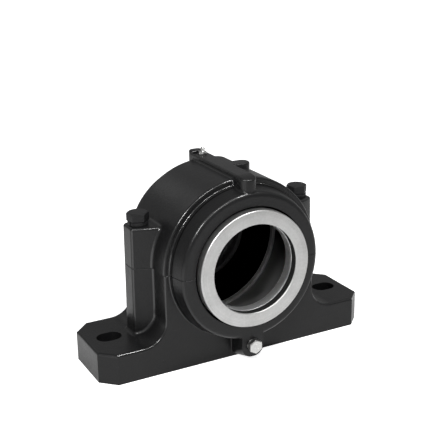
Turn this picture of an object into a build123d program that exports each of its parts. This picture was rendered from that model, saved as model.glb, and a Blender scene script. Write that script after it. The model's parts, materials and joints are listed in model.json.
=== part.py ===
"""Split plummer block housing for the end of a 125 mm shaft.

A labyrinth ring seals the shaft at the front, and a moulded cover closes the rear.

Frame: millimetres, +Z up, origin on the mounting face at the middle of the base.
+X runs along the base, the shaft axis is parallel to Y, and the front is -Y.
Each separate piece of the housing is written to parts/NODE.step.
"""
import os
from math import cos, radians, tan

from build123d import *

os.makedirs("parts", exist_ok=True)

# --- driving dimensions ------------------------------------------------------------
SHAFT_R = 62.5            # shaft the housing is made for
SEAT_R = 105.0            # bearing seat
CENTRE_HEIGHT = 140.0     # shaft axis above the mounting face
BASE_LENGTH = 415.0
BASE_WIDTH = 120.0
SLOT_SPACING = 350.0      # between the two foundation slots
SLOT_WIDTH = 26.0
SLOT_LENGTH = 35.0

# feet and body of the base
FOOT_HEIGHT = 43.0
FOOT_CORNER = 20.5        # 45 degree corner cut of the feet
FOOT_SWEEP = 33.0         # radius from the top of the foot up to the body
BODY_HALF = 116.0         # half width of the body along X
EDGE_R = 3.5              # cast edge rounding

# shell, noses and end walls, all turned about the shaft axis
SHELL_R = 117.5
SHELL_HALF = 60.0
NOSE_ROOT_R = 109.3
NOSE_END_R = 103.0
NOSE_HALF = 89.5
NOSE_EDGE_R = 7.0
SHELL_EDGE_R = 3.0
NOSE_FILLET_R = 2.2       # hollow where the nose meets the shell or the body
BODY_DRUM_R = NOSE_ROOT_R + NOSE_FILLET_R + 0.2

# bearing seat and grease spaces
RING_WIDTH = 8.5          # locating ring each side of a 53 mm wide bearing
BEARING_WIDTH = 53.0
SEAT_HALF = BEARING_WIDTH / 2 + RING_WIDTH
RING_INNER_R = 101.0
SHOULDER_R = 101.8
SHOULDER_WIDTH = 4.0
CHAMBER_R = 107.0
CHAMBER_FULL_HALF = 54.0
WALL_INNER = 66.0
WALL_LAND_R = 89.5
WALL_LAND_STEP = 2.0

# labyrinth seal: ring on the shaft, and the grooves in both end walls
SEAL_OUTER_R = 82.0
SEAL_FACE = 99.5
SEAL_DISC_INNER = 84.6
SEAL_HUB_R = 74.6
SEAL_RIB_R = 81.4
SEAL_RIB = (76.0, 80.0)
SEAL_END = 71.0
SEAL_CHAMFER = 1.0
WALL_BORE_R = 75.6
WALL_GROOVE_R = 82.4
WALL_GROOVE = (75.0, 81.0)
RECESS_R = 84.9
RECESS_DEPTH = NOSE_HALF - 83.6

# rubber cord in the bore of the labyrinth ring
CORD_LIFT = 0.2           # cord stays this far outside the shaft radius
CORD_GROOVE = (86.8, 97.8)
CORD_GROOVE_R = 69.5
CORD_SIDE_GAP = 0.3
CORD_EDGE_R = 1.5

# moulded end cover in the rear wall
COVER_OUTER_R = RECESS_R - 0.3
COVER_RIM_R = WALL_BORE_R - 0.2
COVER_RIM_INNER_R = 68.6
COVER_RIB_R = WALL_GROOVE_R - 0.2
COVER_RIB_GAP = 0.2       # each side of the rib in the wall groove
COVER_WEB_INNER = 84.0
COVER_FACE = 88.5
COVER_DISH_R = 60.0
COVER_DISH_DEPTH = 1.5

# cap ears, bolt columns and cap bolts
EAR_TOP = 196.8
EAR_END = (141.4, 13.3)   # end corner of the plan, at the top of the ear
EAR_MIDDLE = (121.0, 23.3)
EAR_ROOT = (98.0, 29.5)
EAR_INNER = 60.0
EAR_DRAFT = tan(radians(0.7))
EAR_CORNER_R = 4.5
EAR_EDGE_R = 3.6
EAR_ROOT_R = 6.0
COLUMN_LOW = 20.0         # the columns start inside the feet
COLUMN_ROOT_R = 5.0
BOLT_X = 125.0
BOLT_R = 9.0
BOLT_HEAD_AF = 27.0
BOLT_HEAD_HEIGHT = 12.0
BOLT_LENGTH = 95.0
BOLT_HOLE_R = 10.0
BOLT_FIT = 0.05
WASHER_R = 14.0
WASHER_HEIGHT = 5.5
WASHER_GAP = 2.2

# dowel pins that place the cap on the base
PIN_R = 3.0
PIN_LENGTH = 20.0
PIN_X = 115.0
PIN_Y = 16.0

# lubrication ridge on the cap
RIDGE_TOP = 264.3
RIDGE_HALF = 12.0
RIDGE_FRONT = -87.0
RIDGE_REAR = 76.5
RIDGE_FALL_START = -66.0  # the top falls away in a gentle curve from here to the front
RIDGE_FALL = 4.0
RIDGE_END_R = 11.8        # the front end is nearly a half circle in plan
RIDGE_CORNER_R = 6.0
RIDGE_EDGE_R = 2.6
RIDGE_ROOT_R = 3.0
RIDGE_LOW = 230.0         # the ridge starts inside the shell
PAD_TOP = 268.0
PAD_FRONT = 63.0
PAD_RIGHT = 7.5
LUG_REACH = 28.5          # centre of the round end of the side lug
LUG_Y = -10.5
LUG_R = 11.0
STEP_REACH = 20.5         # the ridge widens to the right behind the lug
STEP_REAR = 36.5
STEP_CORNER_R = 14.0

# grease nipple
NIPPLE_Y = 52.0
NIPPLE_THREAD_R = 5.0
NIPPLE_THREAD = 7.0
NIPPLE_AF = 11.0
NIPPLE_HEX = 4.0
NIPPLE_HEAD_R = 3.25
NIPPLE_HEIGHT = 10.5
NIPPLE_BORE_R = 1.7
NIPPLE_MOUTH_R = 1.0
NIPPLE_SEAT = 8.6         # start of the ball seat above the ridge
NIPPLE_STEP = -2.0        # step that carries the spring
BALL_R = 1.35
BALL_Z = 8.41             # centre of the closed ball above the ridge
BALL_TRAVEL = 0.6
SPRING_COIL_R = 1.1
SPRING_WIRE_R = 0.22
SPRING_TURNS = 5
GREASE_HOLE_R = 2.5

# drain boss and plug
DRAIN_Z = 26.0
DRAIN_BOSS_TOP = 48.0     # inside the nose
DRAIN_BOSS_ROOT = (18.0, 2.0, 8.0)     # half width, bottom height, corner radius
DRAIN_BOSS_END = (16.6, 8.2, 15.0)
BOSS_ROOT_R = 1.2
DRAIN_THREAD_R = 6.5
DRAIN_HOLE_END = -44.0
DRAIN_RISER_R = 4.0       # opens the drain hole into the grease space
DRAIN_RISER_Y = -49.0
DRAIN_RISER_TOP = 40.0
PLUG_AF = 18.0
PLUG_HEAD = 8.0
PLUG_THREAD = 13.0
PLUG_WASHER_R = 9.0
PLUG_WASHER_THICK = 1.5

JOINT_CHAMFER = 0.6       # edge break along the joint between base and cap

AXIS = Axis((0, 0, CENTRE_HEIGHT), (0, 1, 0))
SIDES = ((-1, "left"), (1, "right"))
ENDS = ((-1, "front"), (1, "rear"))


# --- helpers -----------------------------------------------------------------------
def turned(points):
    """Revolve a closed outline of (along Y, radius) points about the shaft axis."""
    plane = Plane(origin=(0, 0, CENTRE_HEIGHT), x_dir=(0, 1, 0), z_dir=(1, 0, 0))
    outline = plane * make_face(Polyline(*points, close=True))
    return revolve(outline, AXIS, 360)


def half_space(above):
    """A large block on one side of the joint plane."""
    size = 600.0
    shift = size / 2 if above else -size / 2
    return Pos(0, 0, CENTRE_HEIGHT + shift) * Box(size, size, size)


def upright(radius, low, high, x=0.0, y=0.0):
    """Vertical cylinder between two heights."""
    return Pos(x, y, (low + high) / 2) * Cylinder(radius, high - low)


def along_y(radius, start, end, z=DRAIN_Z):
    """Cylinder parallel to Y at X = 0."""
    return Pos(0, (start + end) / 2, z) * Rot(90, 0, 0) * Cylinder(radius, abs(end - start))


def edges_at(shape, test):
    """Edges whose middle point passes a test."""
    return ShapeList([e for e in shape.edges() if test(e.position_at(0.5))])


def join(carrier, added, root_r):
    """Unite two castings and round the hollow edge where one grows out of the other."""
    joined = carrier + added

    def on_both(edge):
        points = [Vertex(*edge.position_at(t)) for t in (0.1, 0.5, 0.9)]
        return all(shape.distance_to(p) < 0.01 for shape in (carrier, added) for p in points)
    return fillet(ShapeList([e for e in joined.edges() if on_both(e)]), root_r)


def save(name, shape):
    """Write one node as a STEP file."""
    shape.label = name
    export_step(shape, f"parts/{name}.step")


# --- turned surfaces of the housing ----------------------------------------------
def turned_outside(drum_r, drum_half, drum_edge_r):
    """Conical end noses with a drum between them, full circle, all edges rounded."""
    half = [
        (0, drum_r),
        (drum_half, drum_r),
        (drum_half, NOSE_ROOT_R),
        (NOSE_HALF, NOSE_END_R),
        (NOSE_HALF, 0),
    ]
    mirrored = [(-y, r) for y, r in reversed(half[1:])]
    plane = Plane(origin=(0, 0, CENTRE_HEIGHT), x_dir=(0, 1, 0), z_dir=(1, 0, 0))
    outline = make_face(Polyline(*(mirrored + half[1:]), close=True))
    radii = ((drum_r, drum_edge_r), (NOSE_ROOT_R, NOSE_FILLET_R), (NOSE_END_R, NOSE_EDGE_R))
    for level, radius in radii:
        if radius:
            corners = [v for v in outline.vertices() if abs(v.Y - level) < 0.01]
            outline = fillet(corners, radius)
    return revolve(plane * outline, AXIS, 360)


def cavity():
    """Bearing seat, grease spaces and the stepped holes of both end walls."""
    half = [
        (0, SEAT_R),
        (SEAT_HALF, SEAT_R),
        (SEAT_HALF, SHOULDER_R),
        (SEAT_HALF + SHOULDER_WIDTH, SHOULDER_R),
        (SEAT_HALF + SHOULDER_WIDTH, CHAMBER_R),
        (CHAMBER_FULL_HALF, CHAMBER_R),
        (WALL_INNER - 3, WALL_LAND_R + 6),
        (WALL_INNER, WALL_LAND_R + 2),
        (WALL_INNER, WALL_LAND_R),
        (WALL_INNER - WALL_LAND_STEP, WALL_LAND_R - 1),
        (WALL_INNER - WALL_LAND_STEP, WALL_BORE_R),
        (WALL_GROOVE[0], WALL_BORE_R),
        (WALL_GROOVE[0], WALL_GROOVE_R),
        (WALL_GROOVE[1], WALL_GROOVE_R),
        (WALL_GROOVE[1], WALL_BORE_R),
        (NOSE_HALF - RECESS_DEPTH, WALL_BORE_R),
        (NOSE_HALF - RECESS_DEPTH, RECESS_R),
        (NOSE_HALF + 5, RECESS_R),
    ]
    mirrored = [(-y, r) for y, r in reversed(half)]
    axis_line = [(NOSE_HALF + 5, 0), (-NOSE_HALF - 5, 0)]
    return turned(mirrored + half[1:] + axis_line)


# --- castings ----------------------------------------------------------------------
def column_plan(side, height):
    """Plan outline of a bolt column at one height, growing downwards by its draft."""
    grow = (EAR_TOP - height) * EAR_DRAFT
    end = side * (EAR_END[0] + grow)
    y = EAR_END[1]
    inner = side * EAR_INNER
    outline = Wire([
        *Polyline((end, -y), (end, y)).edges(),
        *ThreePointArc((end, y), (side * EAR_MIDDLE[0], EAR_MIDDLE[1]),
                       (side * EAR_ROOT[0], EAR_ROOT[1])).edges(),
        *Polyline((side * EAR_ROOT[0], EAR_ROOT[1]), (inner, EAR_ROOT[1]), (inner, -EAR_ROOT[1]),
                  (side * EAR_ROOT[0], -EAR_ROOT[1])).edges(),
        *ThreePointArc((side * EAR_ROOT[0], -EAR_ROOT[1]), (side * EAR_MIDDLE[0], -EAR_MIDDLE[1]),
                       (end, -y)).edges(),
    ])
    return Pos(0, 0, height) * make_face(outline)


def bolt_column(side, low, high):
    """Tapered bolt column with rounded end corners, between two heights."""
    column = loft([column_plan(side, low), column_plan(side, high)], ruled=True)
    middle = (low + high) / 2
    corners = edges_at(column, lambda p: abs(p.X) > EAR_END[0] - 1 and abs(p.Z - middle) < 0.01)
    return fillet(corners, EAR_CORNER_R)


def base_block():
    """Feet and body as one extruded outline with swept corners."""
    sweep_x = BODY_HALF + FOOT_SWEEP
    sweep_z = FOOT_HEIGHT + FOOT_SWEEP
    mid = FOOT_SWEEP * (1 - cos(radians(45)))
    half = BASE_LENGTH / 2
    outline = Wire([
        *Polyline((-half, 0), (half, 0), (half, FOOT_HEIGHT), (sweep_x, FOOT_HEIGHT)).edges(),
        *ThreePointArc((sweep_x, FOOT_HEIGHT), (BODY_HALF + mid, FOOT_HEIGHT + mid),
                       (BODY_HALF, sweep_z)).edges(),
        *Polyline((BODY_HALF, sweep_z), (BODY_HALF, CENTRE_HEIGHT),
                  (-BODY_HALF, CENTRE_HEIGHT), (-BODY_HALF, sweep_z)).edges(),
        *ThreePointArc((-BODY_HALF, sweep_z), (-BODY_HALF - mid, FOOT_HEIGHT + mid),
                       (-sweep_x, FOOT_HEIGHT)).edges(),
        *Polyline((-sweep_x, FOOT_HEIGHT), (-half, FOOT_HEIGHT), (-half, 0)).edges(),
    ])
    plane = Plane(origin=(0, BASE_WIDTH / 2, 0), x_dir=(1, 0, 0), z_dir=(0, -1, 0))
    block = extrude(plane * make_face(outline), BASE_WIDTH)
    depth = BASE_WIDTH / 2
    corners = edges_at(block, lambda p: abs(abs(p.X) - half) < 0.01 and abs(abs(p.Y) - depth) < 0.01)
    block = chamfer(corners, FOOT_CORNER)
    foot_end = half - FOOT_CORNER - 0.1
    rims = edges_at(block, lambda p: FOOT_HEIGHT - 0.5 < p.Z < CENTRE_HEIGHT - 0.5
                    and (abs(abs(p.Y) - depth) < 0.01 or abs(p.X) > foot_end))
    return fillet(rims, EDGE_R)


def foundation_slots():
    """The two long holes for the foundation bolts."""
    plan = SlotOverall(SLOT_LENGTH, SLOT_WIDTH)
    cut = extrude(plan, FOOT_HEIGHT + 1, both=True)
    return [Pos(side * SLOT_SPACING / 2, 0, 0) * cut for side, _ in SIDES]


def drain_boss():
    """Boss on the lower front nose, square at its root and round at its end."""
    def outline(y, half, bottom, corner_r):
        plane = Plane(origin=(0, y, 0), x_dir=(1, 0, 0), z_dir=(0, -1, 0))
        height = DRAIN_BOSS_TOP - bottom
        face = Pos(0, (DRAIN_BOSS_TOP + bottom) / 2) * Rectangle(2 * half, height)
        low = [v for v in face.vertices() if abs(v.Y - bottom) < 0.01]
        return plane * fillet(low, corner_r)
    root = outline(-BASE_WIDTH / 2 + 2, *DRAIN_BOSS_ROOT)
    return loft([root, outline(-NOSE_HALF, *DRAIN_BOSS_END)], ruled=True)


def break_joint_edges(body):
    """Small chamfer on the outer edges of the joint face."""
    def outer(edge):
        middle = edge.position_at(0.5)
        clear = 107.5 if abs(middle.Y) < NOSE_HALF - 30 else 90.0
        flat = all(abs(edge.position_at(t).Z - CENTRE_HEIGHT) < 0.001 for t in (0, 0.5, 1))
        return flat and abs(middle.X) > clear
    return chamfer(ShapeList([e for e in body.edges() if outer(e)]), JOINT_CHAMFER)


def housing_base():
    """Lower half: feet, body, bolt columns, lower noses and drain boss."""
    body = base_block()
    for side, _ in SIDES:
        body = join(body, bolt_column(side, COLUMN_LOW, CENTRE_HEIGHT), COLUMN_ROOT_R)
    body += turned_outside(BODY_DRUM_R, BASE_WIDTH / 2, 0) & half_space(False)
    body = join(body, drain_boss(), BOSS_ROOT_R)
    body -= cavity()
    body -= foundation_slots()
    for side, _ in SIDES:
        depth = EAR_TOP - BOLT_LENGTH - 4
        body -= upright(BOLT_R + BOLT_FIT, depth, CENTRE_HEIGHT + 1, side * BOLT_X)
        pin_end = CENTRE_HEIGHT - PIN_LENGTH / 2
        body -= upright(PIN_R, pin_end, CENTRE_HEIGHT + 1, side * PIN_X, side * PIN_Y)
    body -= along_y(DRAIN_THREAD_R + BOLT_FIT, -NOSE_HALF - 1, DRAIN_HOLE_END)
    body -= upright(DRAIN_RISER_R, DRAIN_Z, DRAIN_RISER_TOP, 0, DRAIN_RISER_Y)
    return break_joint_edges(body)


def rounded_top(bar, front_r, rear_r):
    """Round the upright corners of a bar and then the rim of its top."""
    uprights = bar.edges().filter_by(Axis.Z).group_by(Axis.Y)
    bar = fillet(uprights[0], front_r)
    bar = fillet(bar.edges().filter_by(Axis.Z).group_by(Axis.Y)[-1], rear_r)
    rim = edges_at(bar, lambda p: p.Z > RIDGE_TOP - RIDGE_FALL - 0.01)
    return fillet(rim, RIDGE_EDGE_R)


def ridge():
    """Ridge along the top of the cap, falling away at the front, with a pad at the rear."""
    fall = (RIDGE_FALL_START + RIDGE_FRONT) / 2
    side = Wire([
        *Polyline((RIDGE_FRONT, RIDGE_LOW), (RIDGE_REAR, RIDGE_LOW), (RIDGE_REAR, RIDGE_TOP),
                  (RIDGE_FALL_START, RIDGE_TOP)).edges(),
        *ThreePointArc((RIDGE_FALL_START, RIDGE_TOP), (fall, RIDGE_TOP - RIDGE_FALL / 4),
                       (RIDGE_FRONT, RIDGE_TOP - RIDGE_FALL)).edges(),
        *Polyline((RIDGE_FRONT, RIDGE_TOP - RIDGE_FALL), (RIDGE_FRONT, RIDGE_LOW)).edges(),
    ])
    plane = Plane(origin=(-RIDGE_HALF, 0, 0), x_dir=(0, 1, 0), z_dir=(1, 0, 0))
    bar = rounded_top(extrude(plane * make_face(side), 2 * RIDGE_HALF), RIDGE_END_R, RIDGE_CORNER_R)
    width = RIDGE_HALF + PAD_RIGHT
    middle = (PAD_RIGHT - RIDGE_HALF) / 2
    pad = Box(width, RIDGE_REAR - PAD_FRONT, PAD_TOP - RIDGE_LOW)
    pad = Pos(middle, (RIDGE_REAR + PAD_FRONT) / 2, (PAD_TOP + RIDGE_LOW) / 2) * pad
    return bar + rounded_top(pad, RIDGE_CORNER_R, RIDGE_CORNER_R)


def lug():
    """Flat lug with a round end, and the wide step behind it, over the right of the shell."""
    plan = Pos(LUG_REACH, LUG_Y) * Circle(LUG_R)
    plan += Pos(LUG_REACH / 2, LUG_Y) * Rectangle(LUG_REACH, 2 * LUG_R)
    length = STEP_REAR - LUG_Y
    wide = Pos(STEP_REACH / 2, LUG_Y + length / 2) * Rectangle(STEP_REACH, length)
    plan += fillet(wide.vertices().group_by(Axis.Y)[-1].sort_by(Axis.X)[-1], STEP_CORNER_R)
    body = Pos(0, 0, RIDGE_LOW) * extrude(plan, RIDGE_TOP - RIDGE_LOW)
    rims = edges_at(body, lambda p: p.Z > RIDGE_TOP - 0.01 and p.X > 1)
    return fillet(rims, RIDGE_EDGE_R)


def housing_cap():
    """Upper half: shell, upper noses, ears, ridge and lug."""
    body = turned_outside(SHELL_R, SHELL_HALF, SHELL_EDGE_R) & half_space(True)
    for side, _ in SIDES:
        ear = bolt_column(side, CENTRE_HEIGHT, EAR_TOP)
        rims = edges_at(ear, lambda p: p.Z > EAR_TOP - 0.01 and abs(p.X) > EAR_INNER + 1)
        body = join(body, fillet(rims, EAR_EDGE_R), EAR_ROOT_R)
    body = join(body, ridge() + lug(), RIDGE_ROOT_R)
    body -= cavity()
    for side, _ in SIDES:
        body -= upright(BOLT_HOLE_R, CENTRE_HEIGHT - 1, EAR_TOP + 1, side * BOLT_X)
        pin_end = CENTRE_HEIGHT + PIN_LENGTH / 2
        body -= upright(PIN_R, CENTRE_HEIGHT - 1, pin_end, side * PIN_X, side * PIN_Y)
    body -= upright(NIPPLE_THREAD_R, RIDGE_TOP - NIPPLE_THREAD, RIDGE_TOP + 1, 0, NIPPLE_Y)
    body -= upright(GREASE_HOLE_R, CENTRE_HEIGHT + CHAMBER_R - 8, RIDGE_TOP, 0, NIPPLE_Y)
    return break_joint_edges(body)


# --- fasteners ---------------------------------------------------------------------
def hexagon_head(across_flats, height, base_z, turn=0.0):
    """Hexagon prism with the usual 30 degree top chamfer."""
    corner_r = across_flats / 2 / cos(radians(30))
    prism = Pos(0, 0, base_z) * Rot(0, 0, turn) * extrude(RegularPolygon(corner_r, 6), height)
    drop = (corner_r - across_flats / 2 + 0.4) * 0.58
    cone = Pos(0, 0, base_z + height / 2) * Cylinder(corner_r + 0.01, height)
    cone = chamfer(cone.edges().group_by(Axis.Z)[-1], length=drop, length2=drop / 0.58)
    return prism & cone


def cap_bolt(side):
    """Hexagon bolt through the cap ear into the base."""
    top = EAR_TOP + WASHER_HEIGHT
    shank = upright(BOLT_R, EAR_TOP - BOLT_LENGTH, top)
    shank = chamfer(shank.edges().group_by(Axis.Z)[0], 1.5)
    head = hexagon_head(BOLT_HEAD_AF, BOLT_HEAD_HEIGHT, top, turn=41.0 if side < 0 else 46.0)
    return Pos(side * BOLT_X, 0, 0) * (shank + head)


def spring_washer(side):
    """Split spring washer under a cap bolt head."""
    ring = upright(WASHER_R, EAR_TOP, EAR_TOP + WASHER_HEIGHT)
    ring -= upright(BOLT_R + 0.3, EAR_TOP - 1, EAR_TOP + WASHER_HEIGHT + 1)
    gap = Rot(20, 0, 0) * Box(2 * WASHER_R, WASHER_GAP, 3 * WASHER_HEIGHT)
    gap = Pos(WASHER_R, 0, EAR_TOP + WASHER_HEIGHT / 2) * gap
    return Pos(side * BOLT_X, 0, 0) * Rot(0, 0, 200) * (ring - gap)


def dowel_pin(side):
    """Plain pin across the joint."""
    pin = upright(PIN_R, CENTRE_HEIGHT - PIN_LENGTH / 2, CENTRE_HEIGHT + PIN_LENGTH / 2)
    pin = chamfer(pin.edges(), 0.5)
    return Pos(side * PIN_X, side * PIN_Y, 0) * pin


# --- rings -------------------------------------------------------------------------
def locating_ring(end):
    """Ring that fills the seat beside the bearing."""
    a = end * BEARING_WIDTH / 2
    b = end * SEAT_HALF
    return turned([(a, RING_INNER_R), (a, SEAT_R), (b, SEAT_R), (b, RING_INNER_R)])


def labyrinth_ring():
    """Turned ring on the shaft with a proud disc, one rib and a cord groove."""
    c = SEAL_CHAMFER
    outline = [
        (SEAL_END, SHAFT_R + c),
        (SEAL_END, SEAL_HUB_R - c),
        (SEAL_END + c, SEAL_HUB_R),
        (SEAL_RIB[0], SEAL_HUB_R),
        (SEAL_RIB[0], SEAL_RIB_R),
        (SEAL_RIB[1], SEAL_RIB_R),
        (SEAL_RIB[1], SEAL_HUB_R),
        (SEAL_DISC_INNER, SEAL_HUB_R),
        (SEAL_DISC_INNER, SEAL_OUTER_R),
        (SEAL_FACE - c, SEAL_OUTER_R),
        (SEAL_FACE, SEAL_OUTER_R - c),
        (SEAL_FACE, SHAFT_R + c),
        (SEAL_FACE - c, SHAFT_R),
        (CORD_GROOVE[1], SHAFT_R),
        (CORD_GROOVE[1], CORD_GROOVE_R),
        (CORD_GROOVE[0], CORD_GROOVE_R),
        (CORD_GROOVE[0], SHAFT_R),
        (SEAL_END + c, SHAFT_R),
    ]
    return turned([(-y, r) for y, r in outline])


def rubber_cord():
    """Rubber cord joined into a ring, in the groove of the labyrinth ring."""
    inner = SHAFT_R + CORD_LIFT
    low = CORD_GROOVE[0] + CORD_SIDE_GAP
    high = CORD_GROOVE[1] - CORD_SIDE_GAP
    cord = turned([(-y, r) for y, r in
                   ((low, inner), (low, CORD_GROOVE_R), (high, CORD_GROOVE_R), (high, inner))])
    rims = [e for e in cord.edges().filter_by(GeomType.CIRCLE) if e.radius < inner + 0.1]
    return fillet(rims, CORD_EDGE_R)


def end_cover():
    """Cup-shaped cover whose rib sits in the wall groove and whose flange lies in the recess."""
    c = SEAL_CHAMFER
    seat = NOSE_HALF - RECESS_DEPTH
    dish = COVER_FACE - COVER_DISH_DEPTH
    return turned([
        (COVER_WEB_INNER, 0),
        (COVER_WEB_INNER, COVER_RIM_INNER_R - 2 * c),
        (COVER_WEB_INNER - 2 * c, COVER_RIM_INNER_R),
        (SEAL_END, COVER_RIM_INNER_R),
        (SEAL_END, COVER_RIM_R - c),
        (SEAL_END + c, COVER_RIM_R),
        (WALL_GROOVE[0] + COVER_RIB_GAP, COVER_RIM_R),
        (WALL_GROOVE[0] + COVER_RIB_GAP, COVER_RIB_R),
        (WALL_GROOVE[1] - COVER_RIB_GAP, COVER_RIB_R),
        (WALL_GROOVE[1] - COVER_RIB_GAP, COVER_RIM_R),
        (seat, COVER_RIM_R),
        (seat, COVER_OUTER_R),
        (COVER_FACE - c, COVER_OUTER_R),
        (COVER_FACE, COVER_OUTER_R - c),
        (COVER_FACE, COVER_DISH_R),
        (dish, COVER_DISH_R - COVER_DISH_DEPTH),
        (dish, 0),
    ])


# --- grease nipple and drain plug ----------------------------------------------------
def grease_nipple():
    """Straight grease nipple: thread, hexagon, waist and head, bored through to the ball seat."""
    neck_r = 2.6
    outside = Polyline(
        (0, 0.5 - NIPPLE_THREAD), (NIPPLE_THREAD_R - 0.6, 0.5 - NIPPLE_THREAD),
        (NIPPLE_THREAD_R - 0.02, 1.2 - NIPPLE_THREAD), (NIPPLE_THREAD_R - 0.02, 0),
        (3.6, NIPPLE_HEX), (neck_r, NIPPLE_HEX + 1.4), (neck_r, NIPPLE_HEX + 2.4),
        (NIPPLE_HEAD_R, NIPPLE_HEX + 3.6), (NIPPLE_HEAD_R, NIPPLE_HEX + 4.4),
        (1.7, NIPPLE_HEIGHT), (0, NIPPLE_HEIGHT), close=True)
    bore = Polyline(
        (0, -NIPPLE_THREAD - 1), (NIPPLE_MOUTH_R, -NIPPLE_THREAD - 1), (NIPPLE_MOUTH_R, NIPPLE_STEP),
        (NIPPLE_BORE_R, NIPPLE_STEP), (NIPPLE_BORE_R, NIPPLE_SEAT),
        (NIPPLE_MOUTH_R, NIPPLE_SEAT + 1), (NIPPLE_MOUTH_R, NIPPLE_HEIGHT + 1),
        (0, NIPPLE_HEIGHT + 1), close=True)
    body = revolve(Plane.XZ * make_face(outside), Axis.Z, 360)
    body += hexagon_head(NIPPLE_AF, NIPPLE_HEX, 0, turn=10.0)
    body -= revolve(Plane.XZ * make_face(bore), Axis.Z, 360)
    return Pos(0, NIPPLE_Y, RIDGE_TOP) * body


def nipple_ball():
    """Check ball that closes the mouth of the grease nipple."""
    return Pos(0, NIPPLE_Y, RIDGE_TOP + BALL_Z) * Sphere(BALL_R)


def nipple_spring():
    """Small coil spring under the ball."""
    low = NIPPLE_STEP + SPRING_WIRE_R + 0.05
    high = BALL_Z - BALL_R - BALL_TRAVEL - SPRING_WIRE_R - 0.1
    path = Helix(pitch=(high - low) / SPRING_TURNS, height=high - low, radius=SPRING_COIL_R)
    section = Plane(origin=path @ 0, z_dir=path % 0) * Circle(SPRING_WIRE_R)
    coil = sweep(section, path=path)
    return Pos(0, NIPPLE_Y, RIDGE_TOP + low) * coil


def drain_plug():
    """Hexagon head plug in the drain boss."""
    head = hexagon_head(PLUG_AF, PLUG_HEAD, 0.0, turn=30.0)
    thread = upright(DRAIN_THREAD_R, -PLUG_THREAD, 0.0)
    thread = chamfer(thread.edges().group_by(Axis.Z)[0], 1.0)
    seat = -NOSE_HALF - PLUG_WASHER_THICK
    plane = Plane(origin=(0, seat, DRAIN_Z), x_dir=(1, 0, 0), z_dir=(0, -1, 0))
    return plane * (head + thread)


def drain_washer():
    """Flat sealing washer under the drain plug."""
    ring = along_y(PLUG_WASHER_R, -NOSE_HALF - PLUG_WASHER_THICK, -NOSE_HALF)
    return ring - along_y(DRAIN_THREAD_R + 0.2, -NOSE_HALF - 5, -NOSE_HALF + 5)


save("housing_base", housing_base())
save("housing_cap", housing_cap())
for side, word in SIDES:
    save(f"cap_bolt_{word}", cap_bolt(side))
    save(f"spring_washer_{word}", spring_washer(side))
    save(f"dowel_pin_{word}", dowel_pin(side))
for end, word in ENDS:
    save(f"locating_ring_{word}", locating_ring(end))
save("labyrinth_ring", labyrinth_ring())
save("rubber_cord", rubber_cord())
save("end_cover", end_cover())
save("grease_nipple", grease_nipple())
save("nipple_ball", nipple_ball())
save("nipple_spring", nipple_spring())
save("drain_plug", drain_plug())
save("drain_washer", drain_washer())
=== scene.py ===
"""Finishes of a split plummer block, with its fine turned, threaded and sprung pieces.

The castings stay as packed and get their paint. Rings, cord, end cover, bolts, washers, pins, the grease
nipple and the drain plug are surfaces worked out with numpy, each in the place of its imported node.
"""
import json
import math

import bpy
import numpy as np
from mathutils import Euler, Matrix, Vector


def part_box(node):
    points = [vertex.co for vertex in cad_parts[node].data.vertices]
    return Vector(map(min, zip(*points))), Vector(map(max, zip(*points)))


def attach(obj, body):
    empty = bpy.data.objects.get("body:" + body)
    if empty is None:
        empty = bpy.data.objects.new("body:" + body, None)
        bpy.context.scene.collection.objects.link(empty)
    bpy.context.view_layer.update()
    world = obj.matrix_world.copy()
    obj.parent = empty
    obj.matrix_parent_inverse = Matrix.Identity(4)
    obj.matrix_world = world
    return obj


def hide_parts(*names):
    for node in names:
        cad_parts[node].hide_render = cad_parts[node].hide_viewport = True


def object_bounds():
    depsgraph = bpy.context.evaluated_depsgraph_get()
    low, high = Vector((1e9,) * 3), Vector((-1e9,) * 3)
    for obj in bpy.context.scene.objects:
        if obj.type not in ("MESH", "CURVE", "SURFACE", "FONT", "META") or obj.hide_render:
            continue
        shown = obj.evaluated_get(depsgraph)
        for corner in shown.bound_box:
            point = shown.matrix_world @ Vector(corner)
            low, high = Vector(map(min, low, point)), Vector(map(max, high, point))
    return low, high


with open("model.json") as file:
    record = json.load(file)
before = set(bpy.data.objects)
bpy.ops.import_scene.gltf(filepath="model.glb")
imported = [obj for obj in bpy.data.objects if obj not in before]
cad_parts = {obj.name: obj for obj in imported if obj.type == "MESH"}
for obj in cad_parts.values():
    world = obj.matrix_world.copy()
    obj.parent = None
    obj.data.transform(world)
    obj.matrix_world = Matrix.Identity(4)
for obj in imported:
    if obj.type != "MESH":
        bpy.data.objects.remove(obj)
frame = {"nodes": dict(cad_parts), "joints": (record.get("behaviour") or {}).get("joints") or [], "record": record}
CAD_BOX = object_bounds()

bl_info = {
    "name": "Split Plummer Block",
    "version": (1, 0, 0),
    "blender": (4, 5, 0),
    "location": "View3D > Sidebar > Plummer Block",
    "description": "Finishes and fine pieces of a split plummer block with labyrinth seals",
    "category": "Object",
}

MM = 0.001
SIDES = ("left", "right")
ENDS = ("front", "rear")
FULL_TURN = 2 * math.pi
OWN = "plummer_"
BLACK = (0.0, 0.0, 0.0, 1.0)
WHITE = (1.0, 1.0, 1.0, 1.0)


# --- places read from the frame ------------------------------------------------------
def middle(node):
    """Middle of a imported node's box, in metres."""
    low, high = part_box(node)
    return (low + high) / 2


def joint_place(name):
    """Place of a joint's axis, in metres."""
    return next(joint["pos_m"] for joint in frame["joints"] if joint["name"] == name)


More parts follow.
